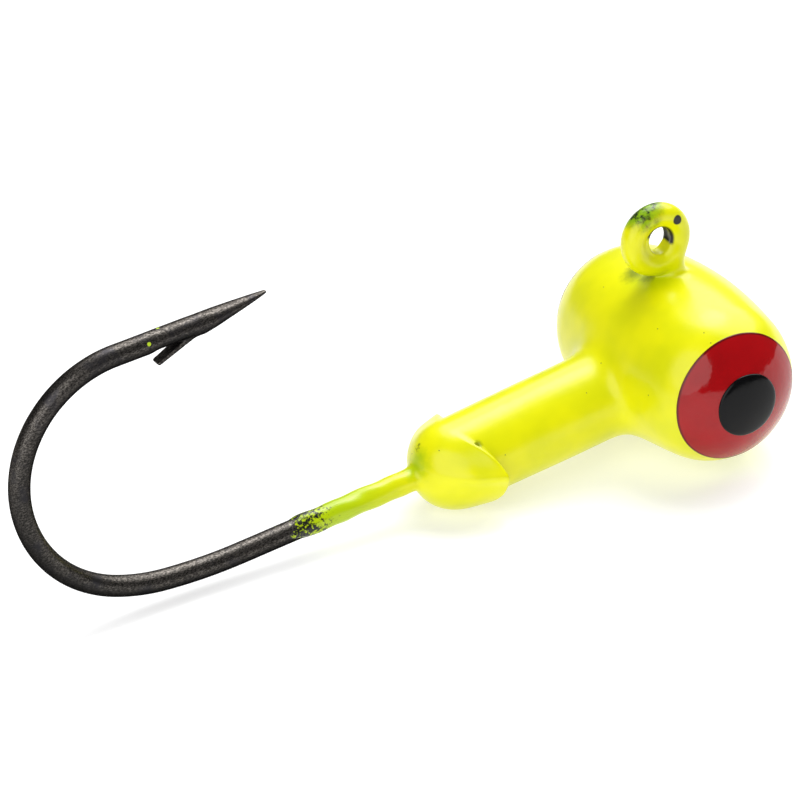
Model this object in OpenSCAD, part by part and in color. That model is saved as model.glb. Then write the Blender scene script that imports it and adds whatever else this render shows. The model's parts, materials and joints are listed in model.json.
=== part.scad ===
// Jig head for soft-plastic baits: a lead barrel head cast round a bronzed hook, with painted eyes.
// It stands on the underside of its barrel and of its collar's tail, with the bend just clear of the floor.
// The shapes are drawn with the shank level and the barrel's centre at zero, then tipped into that stance.

/* [Hook] */
// Diameter of the hook wire
wire_d = 0.8; // [0.7:0.05:0.85]
// Shank from the upright leg to where the bend begins
shank_length = 18.5; // [17:0.5:20]
// How far the shank runs below the barrel's centre
shank_drop = 0.62; // [0.5:0.02:0.7]
// How far the upright leg stands in front of the barrel's centre
leg_x = 0.5; // [0.4:0.05:0.6]
// Radius of the elbow inside the head
elbow_r = 1.3; // [1.1:0.1:1.5]
// Radius of the bend's slow start
entry_r = 20; // [18:1:22]
// Direction at the end of the slow start, in degrees above the shank
entry_turn = 9; // [8.5:0.5:10]
// Radius of the bend's heel
heel_r = 7.2; // [6.5:0.1:8]
// Direction at the end of the heel, in degrees
heel_turn = 25; // [22:1:28]
// Radius of the main bend
bend_r = 4.95; // [4.5:0.05:5.3]
// Radius of the bend's crown
crown_r = 4.42; // [4.2:0.02:4.6]
// Direction at the end of the crown; past 180 the point looks in towards the shank
crown_turn = 182; // [180:1:184]
// Length of the straight from the crown to the point's tip
spear_length = 6.1; // [6:0.1:7]
// Length of the ground point
point_length = 2.8; // [2.5:0.1:3]
// How far the tip lies outside the wire's middle line
tip_rise = 0.26; // [0.2:0.02:0.3]
// Width left at the very tip
tip_d = 0.06; // [0.04:0.02:0.1]
// Width of the sliced barb, across the hook
barb_thickness = 0.5; // [0.4:0.02:0.6]

/* [Line eye] */
// Height of the line eye's centre above the barrel's centre
eye_height = 4.87; // [4.85:0.01:5.1]
// How far the line eye's centre sits behind the barrel's centre
eye_back = 0.08; // [0.04:0.02:0.1]
// Radius of the eye's ring, to the middle of its wire
eye_ring_r = 0.97; // [0.95:0.01:0.97]
// Diameter of the wire where it is drawn down to form the ring
eye_wire_d = 0.72; // [0.66:0.02:0.72]
// Diameter of the ring with its paint
eye_coat_d = 0.9; // [0.88:0.01:0.92]
// Diameter of the clear hole through the painted ring
eye_hole_d = 1.1; // [1.06:0.02:1.14]

/* [Head] */
// Radius of the barrel at its middle
head_r = 3.3; // [3.25:0.05:3.35]
// Distance from the middle to each rim, where the red iris starts
rim_y = 4.27; // [4.2:0.01:4.3]
// Radius of the barrel's long curve
barrel_curve_r = 17; // [16:0.5:18]
// Distance from the middle to where the shoulder starts
shoulder_y = 3; // [2.9:0.05:3.1]
// Radius of the shoulder
shoulder_r = 2.9; // [2.8:0.05:3]
// Radius of each domed end
dome_r = 3.5; // [3.4:0.05:3.7]
// Thickness of the paint on the lead
coat = 0.12; // [0.1:0.01:0.15]

/* [Collar] */
// Radius of the painted bait collar
collar_r = 1.665; // [1.6:0.005:1.7]
// Slope of the collar against the shank, in degrees
collar_pitch = 2.1; // [1.9:0.1:2.2]
// Height of the collar's axis at the barrel's centre
collar_z = -0.32; // [-0.34:0.01:-0.3]
// Distance from the barrel's centre to the tip of the collar's nose
nose_x = 11.25; // [11.15:0.05:11.35]
// Length of the steep cone at the nose
nose_length = 0.45; // [0.4:0.05:0.55]
// Radius where the steep cone meets the easy one
nose_r = 1.1; // [1.06:0.02:1.14]
// Length of the easy cone behind the nose
lead_in = 1; // [0.8:0.1:1.2]
// Distance from the barrel's centre to the step of the keeper barbs
keeper_x = 8.6; // [8.5:0.05:8.8]
// Radius of the step's arc, seen from the side
step_r = 2.2; // [2.15:0.05:2.4]
// How far the step's arc sits below the collar's axis
step_drop = 0.3; // [0.2:0.05:0.35]
// How far each keeper barb stands out of the collar's side
keeper_reach = 0.55; // [0.45:0.05:0.6]
// Radius of the arcs that close the barbs above and below
keeper_arc_r = 3; // [2.9:0.1:3.2]
// How far the barbs' arcs stand out of the collar's top and underside
keeper_rise = 0.08; // [0.05:0.01:0.1]
// Length of paint on the shank in front of the nose
sleeve_length = 4.65; // [4:0.05:5]
// Thickness of the paint on the shank
sleeve_coat = 0.045; // [0.04:0.005:0.06]

/* [Eyes] */
// Radius of each pupil
pupil_r = 1.21; // [1.1:0.01:1.3]
// Thickness of each raised pupil
pupil_coat = 0.08; // [0.06:0.01:0.12]

/* [Hidden] */
$fn = 96;
wire_r = wire_d / 2;
overlap = 0.5;
// How much wider than the wire the ball at each joint of the route is
weld = 0.004;

// The wire's route, in the plane of the hook, as [x, z] points
shank_end = [-shank_length, -shank_drop];
entry_end = arc_end(shank_end, entry_r, 0, entry_turn);
heel_end = arc_end(entry_end, heel_r, entry_turn, heel_turn);
bend_end = arc_end(heel_end, bend_r, heel_turn, 90);
crown_end = arc_end(bend_end, crown_r, 90, crown_turn);

// Where the leg meets the ring, off to one side of its lowest point
leg_top = eye_height - sqrt(pow(eye_ring_r, 2) - pow(leg_x + eye_back, 2));

// The stance: tipped until the barrel and the underside of the keeper, or the bend if it is lower,
// share one floor. The keeper's lowest point is where its cone leaves the arcs that close it.
entry_centre = arc_centre(shank_end, entry_r, 0);
crown_centre = arc_centre(bend_end, crown_r, 90);
bend_tilt = atan2(entry_centre[0], entry_centre[1])
  + acos((entry_r + wire_r - head_r) / norm(entry_centre));
collar_tail = nose_x - nose_length - lead_in;
keeper_slope = (collar_r + keeper_reach - nose_r) / (collar_tail + lead_in - keeper_x);
rest_r = collar_r + keeper_rise;
rest_s = keeper_x + (keeper_reach - keeper_rise) / keeper_slope;
rest_back = rest_s * cos(collar_pitch) - rest_r * sin(collar_pitch);
rest_drop = rest_s * sin(collar_pitch) + rest_r * cos(collar_pitch) - collar_z;
collar_tilt = asin(head_r / norm([rest_back, rest_drop])) - atan2(rest_drop, rest_back);
tilt = min(bend_tilt, collar_tilt);
back_x = crown_centre[0] * cos(tilt) - crown_centre[1] * sin(tilt) - crown_r - wire_r;
centre_x = (back_x + head_r) / 2;

// Where the barrel's long curve meets its shoulder, and the centres of shoulder and dome
curve_angle = asin(shoulder_y / barrel_curve_r);
shoulder_edge = head_r - barrel_curve_r * (1 - cos(curve_angle));
shoulder_x = shoulder_edge - shoulder_r * cos(curve_angle);
shoulder_centre_y = shoulder_y - shoulder_r * sin(curve_angle);
rim_r = shoulder_x + sqrt(pow(shoulder_r, 2) - pow(rim_y - shoulder_centre_y, 2));
dome_y = rim_y - sqrt(pow(dome_r, 2) - pow(rim_r, 2));

// A bend's centre and end. It starts at p in direction from, and turns to direction to,
// both in degrees above the line that runs back along the shank.
function arc_centre(p, r, from) = [p[0] + r * sin(from), p[1] + r * cos(from)];
function arc_end(p, r, from, to) = arc_centre(p, r, from) - r * [sin(to), cos(to)];

// Tips a shape into the stance, with the origin on the floor under the middle of the outline
module in_stance() {
  translate([-centre_x, 0, head_r])
    rotate([0, -tilt, 0])
      children();
}

// Puts a shape made along +Z onto the collar's axis, from its distance to the barrel back towards the bend
module along_collar() {
  translate([0, 0, collar_z])
    rotate([0, -90 - collar_pitch, 0])
      children();
}

module ring(r, wire) {
  rotate([90, 0, 0])
    rotate_extrude()
      translate([r, 0])
        circle(d = wire);
}

module wire_bend(p, r, from, to) {
  centre = arc_centre(p, r, from);
  translate([centre[0], 0, centre[1]])
    rotate([90, 0, 0])
      rotate([0, 0, -90 - to])
        rotate_extrude(angle = to - from)
          translate([r, 0])
            circle(d = wire_d);
}

module wire_straight(p, length) {
  translate([p[0], 0, p[1]])
    rotate([0, 90, 0])
      cylinder(d = wire_d, h = length);
}

// The straight end of the hook, with its ground point and the barb that is sliced out of it
module spear() {
  translate([crown_end[0], 0, crown_end[1]])
    rotate([0, crown_turn - 180, 0]) {
      wire_straight([0, 0], spear_length - point_length);
      translate([spear_length, 0, 0])
        point_and_barb();
    }
}

module point_and_barb() {
  translate([0, 0, tip_rise])
    rotate([0, -90 - atan2(tip_rise, point_length), 0])
      cylinder(d1 = tip_d, d2 = wire_d, h = norm([point_length, tip_rise]));
  rotate([90, 0, 0])
    linear_extrude(height = barb_thickness, center = true)
      polygon([
        [-2.6, 0], [-2.8, -0.37], [-4.52, -0.99], [-4.6, -0.84], [-3.6, -0.3], [-3.6, 0]
      ]);
}

module hook_wire() {
  leg_foot = elbow_r - shank_drop;
  wire_straight(shank_end, shank_length + leg_x - elbow_r);
  wire_bend([leg_x, leg_foot], elbow_r, -90, 0);
  translate([leg_x, 0, leg_foot])
    cylinder(d = wire_d, h = leg_top - leg_foot);
  translate([-eye_back, 0, eye_height])
    ring(eye_ring_r, eye_wire_d);
  wire_bend(shank_end, entry_r, 0, entry_turn);
  wire_bend(entry_end, heel_r, entry_turn, heel_turn);
  wire_bend(heel_end, bend_r, heel_turn, 90);
  wire_bend(bend_end, crown_r, 90, crown_turn);
  for (p = [shank_end, entry_end, heel_end, bend_end, crown_end])
    translate([p[0], 0, p[1]])
      sphere(r = wire_r + weld);
  spear();
}

// Half of the barrel's outline, from its middle to the top of one dome; inset is what the paint takes off
module half_outline(inset) {
  intersection() {
    translate([head_r - barrel_curve_r, 0])
      circle(r = barrel_curve_r - inset);
    square([head_r, shoulder_y]);
  }
  intersection() {
    translate([shoulder_x, shoulder_centre_y])
      circle(r = shoulder_r - inset);
    translate([0, shoulder_y])
      square([head_r, rim_y - shoulder_y]);
  }
  intersection() {
    translate([0, dome_y])
      circle(r = dome_r - inset);
    translate([0, rim_y])
      square([head_r, dome_r]);
  }
}

module barrel(inset) {
  rotate([90, 0, 0])
    rotate_extrude() {
      half_outline(inset);
      mirror([0, 1])
        half_outline(inset);
    }
}

// Collar, nose and the two keeper barbs that hold a soft bait
module collar(inset) {
  r = collar_r - inset;
  tail = collar_tail - inset;
  along_collar() {
    translate([0, 0, overlap])
      cylinder(r = r, h = tail - overlap);
    translate([0, 0, tail])
      cylinder(r1 = r, r2 = nose_r - inset, h = lead_in);
    translate([0, 0, tail + lead_in])
      cylinder(r1 = nose_r - inset, r2 = wire_r + sleeve_coat + coat - inset, h = nose_length);
    intersection() {
      translate([0, 0, keeper_x + inset])
        cylinder(r1 = r + keeper_reach, r2 = nose_r - inset, h = tail + lead_in - keeper_x - inset);
      linear_extrude(height = nose_x)
        keeper_outline(inset);
      translate([-step_drop, 0, keeper_x + step_r])
        rotate([90, 0, 0])
          cylinder(r = step_r - inset, h = 2 * keeper_arc_r, center = true);
    }
  }
}

// The barbs seen along the collar: two wide arcs that meet at its sides
module keeper_outline(inset) {
  lift = keeper_arc_r - collar_r - keeper_rise;
  intersection_for(side = [-1, 1])
    translate([side * lift, 0])
      circle(r = keeper_arc_r - inset);
}

// The part of a spherical shell that lies beyond one rim; side is -1 or 1
module eye_cap(side, outer_r, inner_r) {
  mirror([0, side > 0 ? 0 : 1, 0])
    difference() {
      translate([0, dome_y, 0])
        sphere(r = outer_r);
      translate([0, dome_y, 0])
        sphere(r = inner_r);
      translate([-dome_r, rim_y - 2 * dome_r, -dome_r])
        cube(2 * dome_r);
    }
}

module hook() {
  color([0.24, 0.21, 0.18])
    in_stance()
      hook_wire();
}

module head_casting() {
  color([0.55, 0.56, 0.58])
    in_stance()
      difference() {
        union() {
          barrel(coat);
          collar(coat);
        }
        hook_wire();
      }
}

module head_coat() {
  color([0.93, 0.95, 0.05])
    in_stance()
      difference() {
        union() {
          barrel(0);
          collar(0);
        }
        barrel(coat);
        collar(coat);
        hook_wire();
        for (side = [-1, 1])
          translate([0, side * (rim_y + dome_r), 0])
            cube(2 * dome_r, center = true);
      }
}

module line_eye_coat() {
  color([0.93, 0.95, 0.05])
    in_stance()
      difference() {
        union() {
          translate([-eye_back, 0, eye_height])
            ring(eye_ring_r, eye_coat_d);
          translate([leg_x, 0, head_r - overlap])
            cylinder(d = eye_coat_d + coat, h = leg_top - head_r + overlap);
        }
        barrel(0);
        hook_wire();
        translate([-eye_back, 0, eye_height])
          rotate([90, 0, 0])
            cylinder(d = eye_hole_d, h = 2 * eye_coat_d, center = true);
      }
}

module shank_coat() {
  color([0.85, 0.9, 0.05])
    in_stance()
      difference() {
        translate([-nose_x - sleeve_length, 0, -shank_drop])
          rotate([0, 90, 0])
            cylinder(r = wire_r + sleeve_coat, h = sleeve_length + nose_length / 2);
        collar(0);
        hook_wire();
      }
}

module iris_near() {
  color([0.75, 0.08, 0.1])
    in_stance()
      eye_cap(-1, dome_r, dome_r - coat);
}

module iris_far() {
  color([0.75, 0.08, 0.1])
    in_stance()
      eye_cap(1, dome_r, dome_r - coat);
}

module pupil(side) {
  color([0.03, 0.03, 0.03])
    in_stance()
      intersection() {
        eye_cap(side, dome_r + pupil_coat, dome_r);
        rotate([90, 0, 0])
          cylinder(r = pupil_r, h = 4 * rim_y, center = true);
      }
}

module pupil_near() {
  pupil(-1);
}

module pupil_far() {
  pupil(1);
}

hook();
head_casting();
head_coat();
line_eye_coat();
shank_coat();
iris_near();
iris_far();
pupil_near();
pupil_far();
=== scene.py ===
"""A painted lead jig head for soft baits: barrel head with domed eyes, barbed collar, line eye and hook."""

import json
import math
from itertools import product

import bmesh
import bpy
import numpy as np
from mathutils import Matrix, Vector


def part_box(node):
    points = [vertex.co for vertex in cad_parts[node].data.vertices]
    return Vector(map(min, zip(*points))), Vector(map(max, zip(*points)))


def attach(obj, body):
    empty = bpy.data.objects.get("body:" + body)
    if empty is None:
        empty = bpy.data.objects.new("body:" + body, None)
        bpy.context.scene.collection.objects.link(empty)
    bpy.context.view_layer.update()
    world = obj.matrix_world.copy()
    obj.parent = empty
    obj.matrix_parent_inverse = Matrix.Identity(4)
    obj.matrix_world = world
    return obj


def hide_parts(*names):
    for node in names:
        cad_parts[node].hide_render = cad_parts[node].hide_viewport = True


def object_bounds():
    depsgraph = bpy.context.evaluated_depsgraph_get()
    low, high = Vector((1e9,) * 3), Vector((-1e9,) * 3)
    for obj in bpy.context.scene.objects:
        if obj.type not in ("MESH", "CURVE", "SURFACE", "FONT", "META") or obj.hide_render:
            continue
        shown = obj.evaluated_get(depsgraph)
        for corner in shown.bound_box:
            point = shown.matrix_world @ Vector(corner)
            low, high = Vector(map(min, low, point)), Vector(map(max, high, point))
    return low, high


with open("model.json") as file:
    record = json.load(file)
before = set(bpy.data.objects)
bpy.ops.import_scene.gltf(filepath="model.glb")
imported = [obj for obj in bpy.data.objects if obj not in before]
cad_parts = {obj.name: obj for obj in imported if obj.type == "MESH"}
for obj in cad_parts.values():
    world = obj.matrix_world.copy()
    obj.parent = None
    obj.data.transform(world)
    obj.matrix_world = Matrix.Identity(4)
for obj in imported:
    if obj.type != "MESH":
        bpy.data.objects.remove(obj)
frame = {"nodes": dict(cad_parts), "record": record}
CAD_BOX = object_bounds()

# ---------------------------------------------------------------- sizes
# Shapes are drawn in millimetres on the jig's own axes: zero at the barrel's centre, +X along the shank
# towards the head, +Y across to the far eye, and +Z up at right angles to the shank.
MM = 0.001
MOUNTS = {mount["name"]: mount for mount in frame["record"]["mounts"]}


def middle(node):
    low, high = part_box(node)
    return (low + high) / 2


def half_size(node):
    low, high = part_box(node)
    return (high - low) / (2 * MM)


BARREL_CENTRE = (middle("pupil_near") + middle("pupil_far")) / 2
COLLAR_PITCH = math.radians(2.1)
COLLAR_AXIS = Vector(MOUNTS["bait_collar"]["axis"])
TILT = math.atan2(-COLLAR_AXIS.z, -COLLAR_AXIS.x) - COLLAR_PITCH
TO_ROW = Matrix.Translation(BARREL_CENTRE) @ Matrix.Rotation(-TILT, 4, "Y")
LINE_EYE = TO_ROW.inverted() @ Vector(MOUNTS["line_eye"]["pos_m"]) / MM

# Barrel and eyes, measured on the frame
HEAD_R = BARREL_CENTRE.z / MM
RIM_Y = half_size("head_coat").y
RIM_R = half_size("iris_near").z
APEX_Y = -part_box("iris_near")[0].y / MM
DOME_R = (RIM_R ** 2 + (APEX_Y - RIM_Y) ** 2) / (2 * (APEX_Y - RIM_Y))
DOME_Y = APEX_Y - DOME_R
PUPIL_R = half_size("pupil_near").z
PUPIL_RISE = -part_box("pupil_near")[0].y / MM - APEX_Y

# How far the domes sit back under the irises, and how far the irises stand out from the domes
DOME_SUNK = 0.06
IRIS_LIFT = 0.012

# The barrel's long curve, and the shoulder that it runs into on each side
BARREL_CURVE_R = 17
SHOULDER_Y = 3
SHOULDER_R = 2.9
CURVE_ANGLE = math.asin(SHOULDER_Y / BARREL_CURVE_R)
SHOULDER_EDGE = HEAD_R - BARREL_CURVE_R * (1 - math.cos(CURVE_ANGLE))
SHOULDER_X = SHOULDER_EDGE - SHOULDER_R * math.cos(CURVE_ANGLE)
SHOULDER_CENTRE_Y = SHOULDER_Y - SHOULDER_R * math.sin(CURVE_ANGLE)

# Collar, nose and keeper, by distance along the collar from the barrel's centre
COLLAR_Z = -0.32
COLLAR_R = 1.70
COLLAR_TAPER = 0.0058
COLLAR_FRONT = 1
NOSE_START = 9.7
NOSE_LENGTH = 1.6
NOSE_POWER = 2.2
KEEPER_STEP = 8.6
KEEPER_HALF_WIDTH = 2.22
KEEPER_HALF_HEIGHT = 1.77
STEP_R = 2.2
STEP_DROP = 0.3

# Where the paint on the collar's nose ends and the sleeve on the shank goes on
NOSE_END_X = -11.7

# Hook wire
WIRE_R = 0.4
SHANK_LENGTH = 18.5
SHANK_Z = -0.62
ELBOW_R = 1.3
LEG_X = 0.5
BENDS = ((20, 9), (7.2, 25), (4.95, 90), (4.42, 182))
SPEAR_LENGTH = 6.1
EYE_RING_R = 0.97
EYE_WIRE_R = 0.36
LEG_TOP = LINE_EYE.z - math.sqrt(EYE_RING_R ** 2 - (LEG_X - LINE_EYE.x) ** 2)

# Ground point: its top comes down over TOP_LENGTH and its sides draw in over SIDE_LENGTH
TIP_RISE = 0.26
TIP_HALF_HEIGHT = 0.09
TIP_HALF_WIDTH = 0.06
TOP_LENGTH = 2.6
SIDE_LENGTH = 2.1
GROUND_SLOPE = 0.245

# Paint on the line eye: round the ring, across its middle as a web, and down the neck to the barrel
EYE_PAINT_R = 0.45
WEB_HALF_WIDTH = 0.28
NECK_R = 0.46
NECK_FOOT = (LEG_X - 0.15, 0, 2.4)
BORE_SHIFT = 0.04
BORE_HALF_WIDTH = 0.45
BORE_HALF_HEIGHT = 0.54

# Sleeve of paint on the shank
SLEEVE_R = WIRE_R + 0.045
SLEEVE_START = -9
SLEEVE_END = -16.2

# A small casting pit in the corner of the near barb's step. Its hollow lies slightly past the spot of painted
# shade in its corner.
PIT = np.array([-9.11, -1.25, 0.46])
PIT_HOLLOW = PIT * 1.005
PIT_R = 0.11

# Grid steps of the meshes, and how far to each side a surface's direction is measured
SKIN_STEP = 0.062
WIRE_STEP = 0.05
NORMAL_REACH = 0.012


# ---------------------------------------------------------------- distance fields
# A field takes an array of points and gives about how far each one is from the surface, negative inside.
def smooth_min(a, b, reach):
    closeness = np.maximum(reach - np.abs(a - b), 0) / reach
    return np.minimum(a, b) - closeness ** 3 * reach / 6


def smooth_max(a, b, reach):
    return -smooth_min(-a, -b, reach)


def smooth_step(value, low, high):
    t = np.clip((value - low) / (high - low), 0, 1)
    return t * t * (3 - 2 * t)


def ripple(points, size, height):
    """A gentle unevenness: size sets how wide its waves are, and height how deep."""
    x, y, z = points.T / size
    wave = np.sin(2.1 * x + 1.3 * np.sin(1.7 * y + 0.4))
    wave += np.sin(2.3 * y + 1.1 * np.sin(1.9 * z + 2.0))
    wave += np.sin(1.9 * z + 1.2 * np.sin(2.2 * x + 4.1))
    return wave * height / 3


def capsule(points, start, end, radius):
    start = np.array(start, float)
    line = np.array(end, float) - start
    away = points - start
    along = np.clip(away @ line / (line @ line), 0, 1)
    return np.linalg.norm(away - along[:, None] * line, axis=1) - radius


def eye_torus(points, tube_r):
    x, y, z = points.T
    return np.hypot(np.hypot(x - LINE_EYE.x, z - LINE_EYE.z) - EYE_RING_R, y) - tube_r


def barrel(points):
    """The head: a long curve, a shoulder and a dome at each end. The domes sit back under the irises."""
    x, y, z = points.T
    radius = np.hypot(x, z)
    side = np.abs(y)
    flank = np.hypot(radius - HEAD_R + BARREL_CURVE_R, side) - BARREL_CURVE_R
    shoulder = np.hypot(radius - SHOULDER_X, side - SHOULDER_CENTRE_Y) - SHOULDER_R
    sideways = (side - SHOULDER_CENTRE_Y) * math.cos(CURVE_ANGLE)
    outwards = (radius - SHOULDER_X) * math.sin(CURVE_ANGLE)
    skin = np.where(sideways > outwards, shoulder, flank)
    rim_angle = math.atan2(RIM_R, RIM_Y - DOME_Y)
    sunk = DOME_SUNK * smooth_step(rim_angle - np.arctan2(radius, side - DOME_Y), 0, 0.05)
    dome = np.hypot(radius, side - DOME_Y) - DOME_R + sunk
    return np.where(side > DOME_Y, np.maximum(skin, dome), skin)


def collar_axes(points):
    """Distance back along the collar, and height above its axis."""
    x, _, z = points.T
    z = z - COLLAR_Z
    back = -x * math.cos(COLLAR_PITCH) - z * math.sin(COLLAR_PITCH)
    height = z * math.cos(COLLAR_PITCH) - x * math.sin(COLLAR_PITCH)
    return back, height


def nose(back):
    """Rounds the collar's end off: zero up to where the nose starts, and one at its tip."""
    return (np.maximum(back - NOSE_START, 0) / NOSE_LENGTH) ** NOSE_POWER


def collar(points):
    y = points[:, 1]
    back, height = collar_axes(points)
    radius = COLLAR_R - COLLAR_TAPER * back
    sides = (np.sqrt((y ** 2 + height ** 2) / radius ** 2 + nose(back)) - 1) * radius
    return np.maximum(sides, COLLAR_FRONT - back)


def keeper(points):
    """The two barbs: a wide nose with a ridge on each side, higher on the far side, and a step."""
    y = points[:, 1]
    back, height = collar_axes(points)
    past = back - KEEPER_STEP
    near = y < 0
    crest = np.where(near, 0.28 * past - 0.05, 0.85)
    rise = np.where(near, 0.20, 0.28)
    spread = np.where(near, 0.32, 0.55)
    ridge = rise * np.exp(-((height - crest) / spread) ** 2)
    half_width = KEEPER_HALF_WIDTH + ridge - 0.33 * past
    half_height = KEEPER_HALF_HEIGHT - 0.06 * np.clip(height, -1, 1) - 0.10 * past
    flare = (np.sqrt((y / half_width) ** 2 + (height / half_height) ** 2 + nose(back)) - 1) * half_height
    step = STEP_R - np.hypot(back - KEEPER_STEP - STEP_R, height + STEP_DROP)
    return smooth_max(flare, -step, 0.16)


def line_eye_paint(points):
    x, y, z = points.T
    away = np.hypot(x - LINE_EYE.x, z - LINE_EYE.z)
    web = smooth_max(away - EYE_RING_R, np.abs(y) - WEB_HALF_WIDTH, 0.1)
    ring = smooth_min(eye_torus(points, EYE_PAINT_R), web, 0.2)
    neck = capsule(points, NECK_FOOT, (LEG_X, 0, LEG_TOP), NECK_R)
    return smooth_min(ring, neck, 0.3)


def eye_bore(points):
    """The hole through the line eye, taller than it is wide, and wider inside where the wire is bare."""
    x, y, z = points.T
    x = x - LINE_EYE.x - BORE_SHIFT
    z = z - LINE_EYE.z
    bare = smooth_step(x * math.cos(0.8) + z * math.sin(0.8), -0.1, 0.35)
    reach = 1 + 0.2 * bare * np.clip(1 - (y / 0.26) ** 2, 0, 1)
    return (np.hypot(x / BORE_HALF_WIDTH, z / BORE_HALF_HEIGHT) - reach) * BORE_HALF_WIDTH


def shank_paint(points):
    """Paint that ran along the shank, thinning away unevenly, with a drop under it."""
    x, y, z = points.T
    angle = np.arctan2(y, z - SHANK_Z)
    thin = smooth_step(SLEEVE_END + 0.22 * np.sin(2 * angle + 1) + 0.12 * np.sin(5 * angle) - x, -0.1, 0.5)
    lumps = 0.012 * np.sin(5.1 * x + 2 * np.sin(angle)) + 0.010 * np.sin(2.3 * x + 3 * angle)
    radius = SLEEVE_R + lumps * smooth_step(-x, 11, 12) - 0.12 * thin
    ends = np.maximum(x - SLEEVE_START, SLEEVE_END - 0.9 - x)
    sleeve = np.maximum(np.hypot(y, z - SHANK_Z) - radius, ends)
    drop = capsule(points, (-14.45, 0, SHANK_Z - 0.36), (-14.2, 0, SHANK_Z - 0.38), 0.14)
    return smooth_min(sleeve, drop, 0.15)


# The parts that join the barrel, each with how far its fillet reaches
JOINED = ((collar, 1.0), (keeper, 0.14), (shank_paint, 0.4), (line_eye_paint, 0.55))


def paint_skin(points):
    """The whole skin of paint, with the bore and the pit cut from it. It evens out towards the rims."""
    skin = barrel(points)
    for part, fillet in JOINED:
        skin = smooth_min(skin, part(points), fillet)
    skin = smooth_max(skin, -eye_bore(points), 0.1)
    skin = smooth_max(skin, PIT_R - np.linalg.norm(points - PIT_HOLLOW, axis=1), 0.06)
    calm = smooth_step(RIM_Y - np.abs(points[:, 1]), 0, 0.8)
    return skin + calm * ripple(points, 1.5, 0.016)


def route():
    """The bends as (centre, radius, start, end), and where the last one ends. Angles start from the shank."""
    pieces = []
    point = np.array([-SHANK_LENGTH, SHANK_Z])
    start = 0.0
    for radius, turn in BENDS:
        end = math.radians(turn)
        centre = point + radius * np.array([math.sin(start), math.cos(start)])
        pieces.append((centre, radius, start, end))
        point = centre - radius * np.array([math.sin(end), math.cos(end)])
        start = end
    return pieces, point


ROUTE, CROWN_END = route()


def bend(points, centre, radius, start, end):
    """A round bend of the wire. Its angles are measured at the centre, from straight below it."""
    x, y, z = points.T
    dx = x - centre[0]
    dz = z - centre[1]
    middle_angle = (start + end) / 2
    angle = np.arctan2(-dx, -dz) - middle_angle
    angle = middle_angle + (angle + math.pi) % (2 * math.pi) - math.pi
    inside = np.clip(angle, start, end)
    off = np.hypot(dx + radius * np.sin(inside), dz + radius * np.cos(inside))
    return np.hypot(off, y) - WIRE_R


def spear_axes(points):
    """Distance back from the tip along the spear, and height above its wire's middle line."""
    x, _, z = points.T
    turn = math.radians(BENDS[-1][1] - 180)
    dx = x - CROWN_END[0]
    dz = z - CROWN_END[1]
    back = SPEAR_LENGTH - dx * math.cos(turn) + dz * math.sin(turn)
    up = dx * math.sin(turn) + dz * math.cos(turn)
    return back, up


def spear(points):
    """The straight end of the hook: a point ground flat from below, and a barb sliced from its underside."""
    y = points[:, 1]
    back, up = spear_axes(points)
    thickening = WIRE_R - TIP_RISE - TIP_HALF_HEIGHT
    top = TIP_RISE + TIP_HALF_HEIGHT + thickening * np.clip(back / TOP_LENGTH, 0, 1)
    slice_depth = 0.07 * smooth_step(back, 2.9, 3.2) * smooth_step(-back, -4.9, -4.4)
    low = np.maximum(TIP_RISE - 0.02 - GROUND_SLOPE * back, -WIRE_R) + slice_depth
    widening = WIRE_R - TIP_HALF_WIDTH
    wide = TIP_HALF_WIDTH + widening * np.clip(back / SIDE_LENGTH, 0, 1) ** 0.7
    tall = np.maximum((top - low) / 2, 0.03)
    away = np.sqrt((y / wide) ** 2 + ((up - (top + low) / 2) / tall) ** 2)
    blade = (away - 1) * np.minimum(wide, tall)
    blade = np.maximum(blade, np.maximum(-back, back - SPEAR_LENGTH - 0.2))
    return smooth_min(blade, barb(back, y, up), 0.1)


def barb(back, y, up):
    """A flap bent out from the slice, wide and thin, with a blunt end."""
    start = np.array([3.0, -0.2])
    end = np.array([4.6, -0.87])
    length = np.linalg.norm(end - start)
    along, off = (end - start) / length
    run = (back - start[0]) * along + (up - start[1]) * off
    rise = (up - start[1]) * along - (back - start[0]) * off
    share = np.clip(run / length, 0, 1)
    wide = 0.28 - 0.03 * share
    thick = 0.11 - 0.045 * share
    flap = smooth_max(np.abs(y) - wide, np.abs(rise) - thick, 0.12)
    return smooth_max(flap, np.abs(run - length / 2) - length / 2, 0.12)


def hook_wire(points):
    foot = ELBOW_R + SHANK_Z
    wire = capsule(points, (-SHANK_LENGTH, 0, SHANK_Z), (LEG_X - ELBOW_R, 0, SHANK_Z), WIRE_R)
    leg = capsule(points, (LEG_X, 0, foot), (LEG_X, 0, LEG_TOP), WIRE_R)
    elbow = bend(points * [-1, 1, 1], (ELBOW_R - LEG_X, foot), ELBOW_R, 0, math.pi / 2)
    wire = np.minimum(np.minimum(wire, leg), elbow)
    wire = smooth_min(wire, eye_torus(points, EYE_WIRE_R), 0.1)
    for centre, radius, start, end in ROUTE:
        wire = np.minimum(wire, bend(points, centre, radius, start, end))
    wire = np.minimum(wire, spear(points))
    return wire + ripple(points, 0.6, 0.0015)


# ---------------------------------------------------------------- meshing
def gradient(field, points, size):
    slope = np.empty_like(points)
    for axis in range(3):
        shift = np.zeros(3)
        shift[axis] = size
        slope[:, axis] = (field(points + shift) - field(points - shift)) / (2 * size)
    return slope


def sample(field, low, high, step):
    """The field on a grid of points. Blocks far from the surface get one value each."""
    block = 4
    counts = np.ceil((np.array(high) - low) / (step * block)).astype(int)
    blocks = np.argwhere(np.ones(counts, bool))
    coarse = field(low + step * (blocks * block + (block - 1) / 2)).reshape(counts)
    near = np.abs(coarse) < 1.6 * block * step
    grid = coarse.copy()
    for axis in range(3):
        grid = np.repeat(grid, block, axis)
        near = np.repeat(near, block, axis)
    grid[near] = field(low + step * np.argwhere(near))
    return grid


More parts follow.
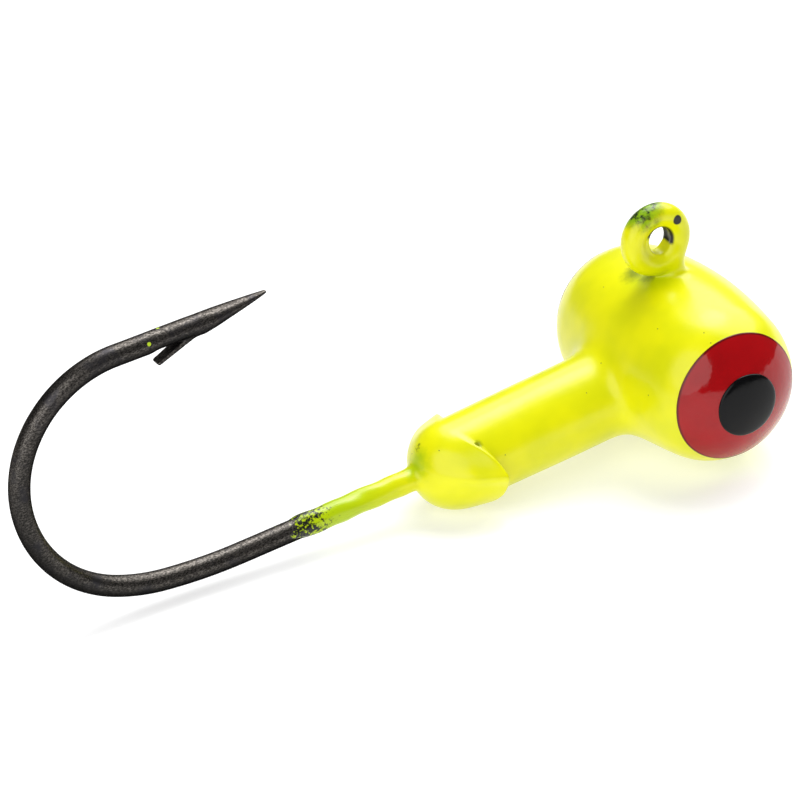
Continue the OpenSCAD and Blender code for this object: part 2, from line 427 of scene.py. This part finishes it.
def cell_points(grid, cells):
    """The middle of the places where the surface crosses each cell's edges, in grid steps."""
    total = np.zeros((len(cells), 3))
    count = np.zeros(len(cells))
    for axis in range(3):
        others = [other for other in range(3) if other != axis]
        for offset in product((0, 1), repeat=2):
            start = cells.copy()
            start[:, others] += offset
            end = start.copy()
            end[:, axis] += 1
            a = grid[tuple(start.T)]
            b = grid[tuple(end.T)]
            crossed = (a < 0) != (b < 0)
            share = np.where(crossed, a / np.where(crossed, a - b, 1), 0)
            place = start.astype(float)
            place[:, axis] += share
            total += place * crossed[:, None]
            count += crossed
    return total / count[:, None]


def surface_net(field, low, high, step):
    """Quads over the surface of a field, with every corner moved onto it."""
    low = np.array(low, float)
    grid = sample(field, low, high, step)
    inside = grid < 0
    size = np.array(grid.shape) - 1
    filled = np.zeros(size, int)
    for corner in product((0, 1), repeat=3):
        filled += inside[tuple(slice(c, c + n) for c, n in zip(corner, size))]
    crossed = (filled > 0) & (filled < 8)
    cells = np.argwhere(crossed)
    index = np.full(size, -1)
    index[crossed] = np.arange(len(cells))
    points = low + step * cell_points(grid, cells)
    quads = []
    for axis in range(3):
        first = inside.take(range(size[axis]), axis)
        second = inside.take(range(1, size[axis] + 1), axis)
        edges = np.argwhere(first != second)
        outward = first[tuple(edges.T)]
        here = np.zeros(3, int)
        side = np.eye(3, dtype=int)[(axis + 1) % 3]
        rise = np.eye(3, dtype=int)[(axis + 2) % 3]
        ring = [index[tuple((edges - shift).T)] for shift in (side + rise, rise, here, side)]
        quad = np.stack(ring, 1)
        quads.append(np.where(outward[:, None], quad, quad[:, ::-1]))
    for _ in range(3):
        slope = gradient(field, points, step / 8)
        move = field(points)[:, None] * slope / np.maximum((slope ** 2).sum(1), 0.3)[:, None]
        points = points - np.clip(move, -step / 2, step / 2)
    return points, np.concatenate(quads)


def rotate_to_row(vectors):
    return vectors @ np.array(TO_ROW.to_3x3()).T


def mesh_from(name, points, faces):
    mesh = bpy.data.meshes.new(name)
    placed = rotate_to_row(points * MM) + np.array(BARREL_CENTRE)
    mesh.from_pydata(placed.tolist(), [], faces.tolist() if isinstance(faces, np.ndarray) else faces)
    return mesh


def shade_by_field(mesh, field, caps=()):
    """Smooth shading with the field's own directions, so that the mesh's facets don't show."""
    count = len(mesh.vertices)
    placed = np.empty(count * 3)
    mesh.vertices.foreach_get("co", placed)
    turn = np.array(TO_ROW.to_3x3())
    points = (placed.reshape(-1, 3) - np.array(BARREL_CENTRE)) @ turn / MM
    slope = rotate_to_row(gradient(field, points, NORMAL_REACH))
    slope /= np.maximum(np.linalg.norm(slope, axis=1), 1e-9)[:, None]
    corner_vertex = np.empty(len(mesh.loops), int)
    mesh.loops.foreach_get("vertex_index", corner_vertex)
    normals = slope[corner_vertex]
    for face in caps:
        polygon = mesh.polygons[face]
        normals[polygon.loop_start:polygon.loop_start + polygon.loop_total] = polygon.normal
    mesh.polygons.foreach_set("use_smooth", [True] * len(mesh.polygons))
    mesh.normals_split_custom_set(normals.tolist())


def keep_side(source, name, point, way):
    """The part of a mesh on the side of a plane that way points to, closed with a cap."""
    place = TO_ROW @ (Vector(point) * MM)
    normal = TO_ROW.to_3x3() @ Vector(way)
    shape = bmesh.new()
    shape.from_mesh(source)
    parts = shape.verts[:] + shape.edges[:] + shape.faces[:]
    cut = bmesh.ops.bisect_plane(
        shape, geom=parts, plane_co=place, plane_no=normal, dist=1e-9, clear_inner=True)
    rim = [part for part in cut["geom_cut"] if isinstance(part, bmesh.types.BMEdge)]
    bmesh.ops.edgeloop_fill(shape, edges=rim)
    mesh = bpy.data.meshes.new(name)
    shape.to_mesh(mesh)
    shape.free()
    return mesh


def cap_faces(mesh):
    """The caps that keep_side made: the only faces with more than four corners."""
    return [face.index for face in mesh.polygons if len(face.vertices) > 4]


def piece(name, mesh, material, slot, *nodes):
    """Adds one piece of the object, which stands for the CAD nodes named."""
    mesh.materials.append(material)
    made = bpy.data.objects.new(name, mesh)
    bpy.context.scene.collection.objects.link(made)
    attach(made, "root")
    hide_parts(*nodes)


# ---------------------------------------------------------------- node helpers
def new_material(name):
    material = bpy.data.materials.new(name)
    material.use_nodes = True
    return material, material.node_tree


def add_node(tree, kind, inputs=None, **settings):
    node = tree.nodes.new("ShaderNode" + kind)
    for key, value in settings.items():
        setattr(node, key, value)
    for key, value in (inputs or {}).items():
        if isinstance(value, bpy.types.NodeSocket):
            tree.links.new(value, node.inputs[key])
        else:
            node.inputs[key].default_value = value
    return node


def jig_place(tree):
    """Place on the jig's own axes, in millimetres."""
    place = add_node(tree, "TexCoord").outputs["Object"]
    inputs = {"Vector": place, "Location": BARREL_CENTRE, "Rotation": (0, -TILT, 0), "Scale": (MM, MM, MM)}
    return add_node(tree, "Mapping", inputs, vector_type="TEXTURE").outputs[0]


def calc(tree, operation, a, b=0.0):
    return add_node(tree, "Math", {0: a, 1: b}, operation=operation).outputs[0]


def vector_calc(tree, operation, a, b=(0, 0, 0)):
    """The outputs of an operation on vectors: the first is a vector, and "Value" a number."""
    return add_node(tree, "VectorMath", {0: a, 1: b}, operation=operation).outputs


def fade(tree, value, low, high, start=0.0, end=1.0):
    """From start where value is low to end where it is high, smoothly."""
    inputs = {"Value": value, "From Min": low, "From Max": high, "To Min": start, "To Max": end}
    return add_node(tree, "MapRange", inputs, interpolation_type="SMOOTHSTEP").outputs[0]


def noise(tree, place, scale, detail=3.0, roughness=0.55):
    inputs = {"Vector": place, "Scale": scale, "Detail": detail, "Roughness": roughness}
    return add_node(tree, "TexNoise", inputs).outputs[0]


def blend(tree, share, a, b):
    mixer = add_node(tree, "Mix", data_type="RGBA")
    for index, value in ((0, share), (6, a), (7, b)):
        if isinstance(value, bpy.types.NodeSocket):
            tree.links.new(value, mixer.inputs[index])
        else:
            mixer.inputs[index].default_value = value
    return mixer.outputs[2]


def axis_of(tree, place, axis):
    return add_node(tree, "SeparateXYZ", {0: place}).outputs[axis]


def spot(tree, place, centre, radius, ragged=0.0, soft=0.15):
    """One inside a round spot and zero outside; ragged roughens its edge and soft widens it."""
    away = vector_calc(tree, "DISTANCE", place, centre)["Value"]
    if ragged:
        edge = noise(tree, place, 2.2 / radius, 4.0)
        push = calc(tree, "MULTIPLY", calc(tree, "SUBTRACT", edge, 0.5), ragged * radius)
        away = calc(tree, "ADD", away, push)
    return fade(tree, away, radius * (1 - soft), radius * (1 + soft), 1.0, 0.0)


def specks(tree, place, spacing, size, rare):
    """Small round dots scattered over the surface; rare from 0 to 1 thins them out."""
    cells = add_node(tree, "TexVoronoi", {"Vector": place, "Scale": 1 / spacing, "Randomness": 1.0})
    pick = add_node(tree, "SeparateColor", {0: cells.outputs["Color"]}).outputs[0]
    shown = calc(tree, "GREATER_THAN", pick, rare)
    dot = fade(tree, cells.outputs["Distance"], size / spacing * 0.6, size / spacing, 1.0, 0.0)
    return calc(tree, "MULTIPLY", shown, dot)


def bump(tree, height, depth, strength=1.0, normal=None):
    inputs = {"Height": height, "Distance": depth * MM, "Strength": strength}
    if normal is not None:
        inputs["Normal"] = normal
    return add_node(tree, "Bump", inputs).outputs[0]


def surface(tree, **inputs):
    shader = tree.nodes["Principled BSDF"]
    for key, value in inputs.items():
        socket = shader.inputs[key.replace("_", " ")]
        if isinstance(value, bpy.types.NodeSocket):
            tree.links.new(value, socket)
        else:
            socket.default_value = value


# ---------------------------------------------------------------- materials
LEAF = (0.79, 0.78, 0.0006, 1)
LEAF_DEEP = (0.68, 0.70, 0.0006, 1)
GREEN = (0.34, 0.52, 0.0006, 1)
# MOSS also colours the painted shade in the barb's pit and along the nose's crease
MOSS = (0.10, 0.16, 0.002, 1)
SOOT = (0.006, 0.007, 0.006, 1)
MOTTLE_DARK = (0.006, 0.012, 0.004, 1)
MOTTLE_LIGHT = (0.22, 0.40, 0.004, 1)
WIRE_DARK = (0.026, 0.024, 0.022, 1)
WIRE_BRIGHT = (0.17, 0.155, 0.14, 1)
WIRE_CLOUD = (0.045, 0.043, 0.048, 1)
# Painted shade for the wire's downward-facing side
WIRE_UNDERSIDE_SHADE = (0.010, 0.010, 0.010, 1)
STRAY_PAINT = (0.45, 0.62, 0.03, 1)
RED_DEEP = (0.27, 0.0016, 0.0032, 1)
RED = (0.38, 0.0018, 0.0040, 1)
RED_EDGE = (0.06, 0.004, 0.002, 1)
BLACK = (0.0015, 0.0016, 0.0018, 1)
BLACK_LIGHTER = (0.003, 0.003, 0.0035, 1)
LEAD_DARK = (0.20, 0.205, 0.22, 1)
LEAD_LIGHT = (0.42, 0.425, 0.44, 1)


def chartreuse_paint():
    material, tree = new_material("chartreuse_paint")
    place = jig_place(tree)
    tone = blend(tree, fade(tree, noise(tree, place, 0.5, 2.0), 0.35, 0.7), LEAF, LEAF_DEEP)
    tone = blend(tree, calc(tree, "MULTIPLY", thin_paint(tree, place), 0.8), tone, GREEN)
    tone = blend(tree, ring_patch(tree, place), tone, mottled_moss(tree, place))
    # Soft dark patches below the ring, with painted shade in the barb's pit and along the nose's crease
    tone = blend(tree, calc(tree, "MULTIPLY", dark_patches_and_painted_shade(tree, place), 0.8), tone, MOSS)
    tone = blend(tree, sleeve_wear(tree, place), tone, SOOT)
    pits = specks(tree, place, 0.55, 0.032, 0.72)
    tone = blend(tree, calc(tree, "MULTIPLY", pits, 0.85), tone, MOSS)
    tone = blend(tree, calc(tree, "MAXIMUM", eye_dot(tree, place), bore_metal(tree, place)), tone, SOOT)
    skin = bump(tree, noise(tree, place, 0.9, 3.0), 0.05, 0.4)
    skin = bump(tree, pits, -0.02, 0.8, skin)
    surface(tree, Base_Color=tone, Roughness=0.28, IOR=1.42, Normal=skin)
    surface(tree, Coat_Weight=0.06, Coat_Roughness=0.1)
    return material


def thin_paint(tree, place):
    """Greener where the paint is thin: on the shank, round the nose's end and at the foot of the line eye."""
    shank = fade(tree, axis_of(tree, place, 0), -14.5, -11.0, 1.0, 0.0)
    foot = spot(tree, place, (-0.25, 0.15, 3.35), 0.75, soft=0.9)
    crease = spot(tree, place, (-11.3, -0.2, 0.1), 0.5, 1.0, 0.8)
    return calc(tree, "MAXIMUM", shank, calc(tree, "MAXIMUM", calc(tree, "MULTIPLY", foot, 0.6), crease))


def ring_patch(tree, place):
    """Where the paint on the top of the line eye's ring is thin and mottled."""
    return spot(tree, place, (-0.45, 0.22, LINE_EYE.z + 1.42), 0.85, 0.7, 0.35)


def mottled_moss(tree, place):
    patches = fade(tree, noise(tree, place, 4.5, 6.0, 0.75), 0.38, 0.56)
    return blend(tree, patches, MOTTLE_DARK, MOTTLE_LIGHT)


def dark_patches_and_painted_shade(tree, place):
    """Soft dark patches below the ring, and painted shade in the corner of the near barb's step and in a
    crease on the nose's end.
    """
    lower_patch = spot(tree, place, (-0.58, 0.98, 3.2), 0.42, 1.0, 0.9)
    under = spot(tree, place, (-0.55, 0.35, 3.45), 0.32, 1.0, 0.9)
    # Painted shade: a dark spot in the corner of the step, and a dark line along the crease on the nose
    pit = calc(tree, "MULTIPLY", spot(tree, place, tuple(PIT), 0.16, 0.8, 0.5), 0.6)
    crease = spot(tree, place, (-11.05, 0.15, 0.6), 0.22, 2.5, 0.4)
    below_ring = calc(tree, "MAXIMUM", lower_patch, under)
    return calc(tree, "MAXIMUM", below_ring, calc(tree, "MAXIMUM", pit, crease))


def eye_dot(tree, place):
    """The one black dot, on the near side of the line eye's ring."""
    return spot(tree, place, (0.71, -0.44, LINE_EYE.z + 0.66), 0.185)


def bore_metal(tree, place):
    """Bare dark wire inside the line eye's hole, at its top and front."""
    off = vector_calc(tree, "SUBTRACT", place, (LINE_EYE.x, 0, LINE_EYE.z))[0]
    flat = vector_calc(tree, "MULTIPLY", off, (1, 0, 1))[0]
    radius = vector_calc(tree, "LENGTH", flat)["Value"]
    side = vector_calc(tree, "DOT_PRODUCT", flat, (0.55, 0, 0.83))["Value"]
    grain = calc(tree, "MULTIPLY", calc(tree, "SUBTRACT", noise(tree, place, 5.0, 4.0), 0.5), 0.3)
    inside = fade(tree, radius, 0.56, 0.66, 1.0, 0.0)
    return calc(tree, "MULTIPLY", inside, fade(tree, calc(tree, "ADD", side, grain), -0.08, 0.10))


def sleeve_wear(tree, place):
    """Dark wire showing through the paint on the shank in fine mottles, more towards its end."""
    x = axis_of(tree, place, 0)
    worn = fade(tree, x, -16.2, -13.6, 0.20, -0.12)
    grain = noise(tree, place, 6.5, 5.0, 0.75)
    return fade(tree, calc(tree, "ADD", grain, worn), 0.60, 0.68)


def bronzed_wire():
    material, tree = new_material("bronzed_wire")
    place = jig_place(tree)
    streak = add_node(tree, "Mapping", {"Vector": place, "Scale": (0.5, 1, 1)}).outputs[0]
    grain = noise(tree, streak, 22.0, 4.0, 0.75)
    cloud = noise(tree, place, 1.3, 3.0)
    tone = blend(tree, fade(tree, grain, 0.40, 0.68), WIRE_DARK, WIRE_BRIGHT)
    tone = blend(tree, fade(tree, cloud, 0.5, 0.75), tone, WIRE_CLOUD)
    # Painted shade on the wire's underside
    tone = blend(tree, shaded_side(tree), tone, WIRE_UNDERSIDE_SHADE)
    paint = wire_paint(tree, place)
    tone = blend(tree, paint, tone, STRAY_PAINT)
    rough = fade(tree, grain, 0.3, 0.7, 0.44, 0.32)
    metal = calc(tree, "MULTIPLY", calc(tree, "SUBTRACT", 1.0, paint), 0.95)
    skin = bump(tree, grain, 0.006, 0.5)
    surface(tree, Base_Color=tone, Roughness=rough, Metallic=metal, Normal=skin)
    surface(tree, Specular_Tint=(0.25, 0.25, 0.25, 1))
    return material


def shaded_side(tree):
    """Painted shade: the wire is darker where its surface faces down."""
    normal = add_node(tree, "TexCoord").outputs["Normal"]
    return fade(tree, axis_of(tree, normal, 2), -0.35, 0.45, 0.85, 0.0)


def wire_paint(tree, place):
    """Stray paint on the wire: two dots on the spear, and specks where the sleeve ends."""
    crown_x, crown_z = CROWN_END
    first = spot(tree, place, (crown_x + 1.22, -0.37, crown_z + 0.12), 0.075)
    second = spot(tree, place, (crown_x + 1.82, 0.06, crown_z + 0.35), 0.065)
    x = axis_of(tree, place, 0)
    low = fade(tree, axis_of(tree, place, 2), 1.0, 2.0, 1.0, 0.0)
    near_sleeve = calc(tree, "MULTIPLY", calc(tree, "MULTIPLY", fade(tree, x, -17.6, -15.4), low), 0.2)
    dust = fade(tree, calc(tree, "ADD", noise(tree, place, 5.0, 5.0, 0.7), near_sleeve), 0.70, 0.76)
    dust = calc(tree, "MULTIPLY", dust, calc(tree, "GREATER_THAN", near_sleeve, 0.01))
    return calc(tree, "MAXIMUM", calc(tree, "MAXIMUM", first, second), dust)


def red_enamel():
    material, tree = new_material("red_enamel")
    place = jig_place(tree)
    tone = blend(tree, noise(tree, place, 1.2, 2.0), RED_DEEP, RED)
    edge = fade(tree, calc(tree, "ABSOLUTE", axis_of(tree, place, 1)), RIM_Y + 0.01, RIM_Y + 0.06, 1.0, 0.0)
    tone = blend(tree, calc(tree, "MULTIPLY", edge, 0.8), tone, RED_EDGE)
    skin = bump(tree, noise(tree, place, 1.6, 3.0), 0.03, 0.5)
    surface(tree, Base_Color=tone, Roughness=0.09, IOR=1.42, Normal=skin)
    return material


def black_enamel():
    material, tree = new_material("black_enamel")
    place = jig_place(tree)
    tone = blend(tree, noise(tree, place, 2.0, 3.0), BLACK, BLACK_LIGHTER)
    skin = bump(tree, noise(tree, place, 2.2, 3.0), 0.02, 0.25)
    rough = fade(tree, noise(tree, place, 3.0, 3.0), 0.3, 0.7, 0.14, 0.22)
    surface(tree, Base_Color=tone, Roughness=rough, IOR=1.26, Normal=skin)
    return material


def cast_lead():
    material, tree = new_material("cast_lead")
    place = jig_place(tree)
    grain = noise(tree, place, 3.0, 6.0, 0.65)
    tone = blend(tree, grain, LEAD_DARK, LEAD_LIGHT)
    surface(tree, Base_Color=tone, Metallic=0.8, Roughness=0.55, Normal=bump(tree, grain, 0.03, 0.6))
    return material


def pale_floor():
    material, tree = new_material("pale_floor")
    surface(tree, Base_Color=(0.6, 0.6, 0.6, 1), Roughness=0.9)
    surface(tree, Emission_Color=(1, 1, 1, 1), Emission_Strength=0.5)
    return material


# ---------------------------------------------------------------- pieces
def make_paint(material):
    """One skin of paint, split where it passes from the lead to the wire."""
    margin = 0.2
    low = (SLEEVE_END - 1.2, -APEX_Y - margin, -HEAD_R - margin)
    high = (HEAD_R + margin, APEX_Y + margin, LINE_EYE.z + EYE_RING_R + EYE_PAINT_R + margin)
    points, quads = surface_net(paint_skin, low, high, SKIN_STEP)
    whole = mesh_from("skin", points, quads)
    neck = (0, 0, HEAD_R + 0.2)
    nose_end = (NOSE_END_X, 0, SHANK_Z)
    above = keep_side(whole, "line_eye_paint", neck, (0, 0, 1))
    below = keep_side(whole, "below", neck, (0, 0, -1))
    head = keep_side(below, "painted_head", nose_end, (1, 0, 0))
    shank = keep_side(below, "shank_paint", nose_end, (-1, 0, 0))
    for mesh, node in ((head, "head_coat"), (above, "line_eye_coat"), (shank, "shank_coat")):
        shade_by_field(mesh, paint_skin, cap_faces(mesh))
        piece(mesh.name, mesh, material, "chartreuse_paint", node)
    bpy.data.meshes.remove(whole)
    bpy.data.meshes.remove(below)


def make_hook(material):
    margin = 0.6
    outermost_centre, outermost_radius, _, _ = ROUTE[2]
    back = outermost_centre[0] - outermost_radius - 1
    low = (back, -margin, SHANK_Z - margin)
    high = (EYE_RING_R + margin, margin, CROWN_END[1] + margin)
    points, quads = surface_net(hook_wire, low, high, WIRE_STEP)
    mesh = mesh_from("hook_wire", points, quads)
    shade_by_field(mesh, hook_wire)
    piece("hook_wire", mesh, material, "bronzed_wire", "hook")


def lathe(name, profile, side, uneven):
    """A closed shape turned about the barrel's axis. The profile's ends lie on that axis."""
    steps = 192
    turns = np.arange(steps) * 2 * math.pi / steps
    points = []
    faces = []
    for radius, distance in profile:
        if radius < 1e-6:
            points.append((0, side * distance, 0))
        else:
            wave = np.sin(3 * turns + 1) + 0.7 * np.sin(7 * turns + 2) + 0.4 * np.sin(16 * turns)
            reach = radius * (1 + uneven * wave)
            level = np.full(steps, side * distance)
            points.extend(zip(reach * np.cos(turns), level, reach * np.sin(turns)))
    last = len(points) - 1
    rings = len(profile) - 2
    for turn in range(steps):
        after = (turn + 1) % steps
        faces.append((0, 1 + after, 1 + turn))
        for ring in range(rings - 1):
            base = 1 + ring * steps
            faces.append((base + turn, base + after, base + steps + after, base + steps + turn))
        base = 1 + (rings - 1) * steps
        faces.append((last, base + turn, base + after))
    if side > 0:
        faces = [face[::-1] for face in faces]
    mesh = mesh_from(name, np.array(points, float), faces)
    mesh.polygons.foreach_set("use_smooth", [True] * len(mesh.polygons))
    return mesh


def dome_point(angle, lift):
    """A point above or below the dome, by its angle from the apex, as (radius, distance)."""
    reach = DOME_R + lift
    return reach * math.sin(angle), DOME_Y + reach * math.cos(angle)


def iris_profile():
    """A thin coat over the dome that rounds off just past the rim."""
    rim = math.asin(RIM_R / DOME_R)
    outer = [dome_point(rim * share, IRIS_LIFT) for share in np.linspace(0, 0.97, 40)]
    lip = [dome_point(rim + 0.004 * turn, IRIS_LIFT * (1 - (turn / 3) ** 2)) for turn in range(-2, 4)]
    under = [dome_point(rim + 0.012, -0.03)]
    inner = [dome_point(rim * share, -0.1) for share in np.linspace(1, 0, 14)]
    return outer + lip + under + inner


def pupil_profile():
    """A raised disc of enamel with a rounded edge, which follows the dome."""
    edge = math.asin(PUPIL_R / DOME_R)
    shares = np.concatenate([np.linspace(0, 0.9, 20), 1 - 0.1 * np.linspace(1, 0, 18)[1:] ** 2])
    outer = [dome_point(edge * share, IRIS_LIFT + PUPIL_RISE * (1 - share ** 16) ** 0.5) for share in shares]
    inner = [dome_point(edge * share, -0.03) for share in np.linspace(1, 0, 10)]
    return outer + inner


def make_eyes(red, black):
    for side, end in ((-1, "near"), (1, "far")):
        iris = lathe("red_iris_" + end, iris_profile(), side, 0.0006)
        piece(iris.name, iris, red, "red_enamel", "iris_" + end)
        pupil = lathe("black_pupil_" + end, pupil_profile(), side, 0.0025)
        piece(pupil.name, pupil, black, "black_enamel", "pupil_" + end)


# ---------------------------------------------------------------- studio
# Azimuth, elevation and roll of the camera in degrees, and its distance in metres
CAMERA = (-27.436, 28.476, -4.154, 0.21619)
# Where it looks, in millimetres from the middle of the CAD box, then its lens and sensor width
CAMERA_AIM = Vector((0.264, -0.281, -0.350))
LENS = 270
SENSOR_WIDTH = 36

# Each light's azimuth and elevation in degrees, its distance, width and height in metres, and its radiance
LIGHTS = {
    "back_panel": (122, 52, 0.35, 0.48, 0.42, 2.8),
    "front_panel": (-50, 29, 0.32, 0.42, 0.40, 1.6),
    "strip": (128, 62, 0.33, 0.15, 0.18, 4.2),
}
WORLD_STRENGTH = 0.12


def direction(azimuth, elevation):
    """Unit vector from the object towards an azimuth and elevation in degrees. Azimuth 0 is -Y."""
    a = math.radians(azimuth)
    e = math.radians(elevation)
    return Vector((math.sin(a) * math.cos(e), -math.cos(a) * math.cos(e), math.sin(e)))


def make_camera(aim):
    azimuth, elevation, roll, distance = CAMERA
    back = direction(azimuth, elevation)
    level = Vector((0, 0, 1)).cross(back).normalized()
    rise = back.cross(level)
    tip = math.radians(roll)
    right = math.cos(tip) * level + math.sin(tip) * rise
    up = back.cross(right)
    camera = bpy.data.objects.new("camera", bpy.data.cameras.new("camera"))
    camera.data.lens = LENS
    camera.data.sensor_width = SENSOR_WIDTH
    camera.data.clip_start = 0.01
    bpy.context.scene.collection.objects.link(camera)
    camera.matrix_world = Matrix((right, up, back)).transposed().to_4x4()
    camera.location = aim + back * distance
    bpy.context.scene.camera = camera


def soft_light(name, aim, azimuth, elevation, distance, width, height, radiance):
    light = bpy.data.lights.new(name, "AREA")
    light.shape = "ELLIPSE"
    light.size = width
    light.size_y = height
    light.energy = math.pi * width * height * radiance
    made = bpy.data.objects.new(name, light)
    bpy.context.scene.collection.objects.link(made)
    away = direction(azimuth, elevation)
    made.location = aim + away * distance
    made.rotation_euler = away.to_track_quat("Z", "Y").to_euler()


def make_floor(material):
    half = 1.0
    mesh = bpy.data.meshes.new("floor")
    corners = [(-half, -half, 0), (half, -half, 0), (half, half, 0), (-half, half, 0)]
    mesh.from_pydata(corners, [], [(0, 1, 2, 3)])
    mesh.materials.append(material)
    floor = bpy.data.objects.new("floor", mesh)
    bpy.context.scene.collection.objects.link(floor)


def make_studio(aim):
    world = bpy.data.worlds.new("studio")
    world.use_nodes = True
    background = world.node_tree.nodes["Background"]
    background.inputs["Color"].default_value = (1, 1, 1, 1)
    background.inputs["Strength"].default_value = WORLD_STRENGTH
    bpy.context.scene.world = world
    for name, values in LIGHTS.items():
        soft_light(name, aim, *values)
    bpy.context.scene.view_settings.view_transform = "Standard"
    make_floor(pale_floor())


make_paint(chartreuse_paint())
make_hook(bronzed_wire())
make_eyes(red_enamel(), black_enamel())
lead = frame["nodes"]["head_casting"]
lead.data.materials.clear()
lead.data.materials.append(cast_lead())

low, high = CAD_BOX
AIM = (low + high) / 2 + CAMERA_AIM * MM
make_camera(AIM)
make_studio(AIM)
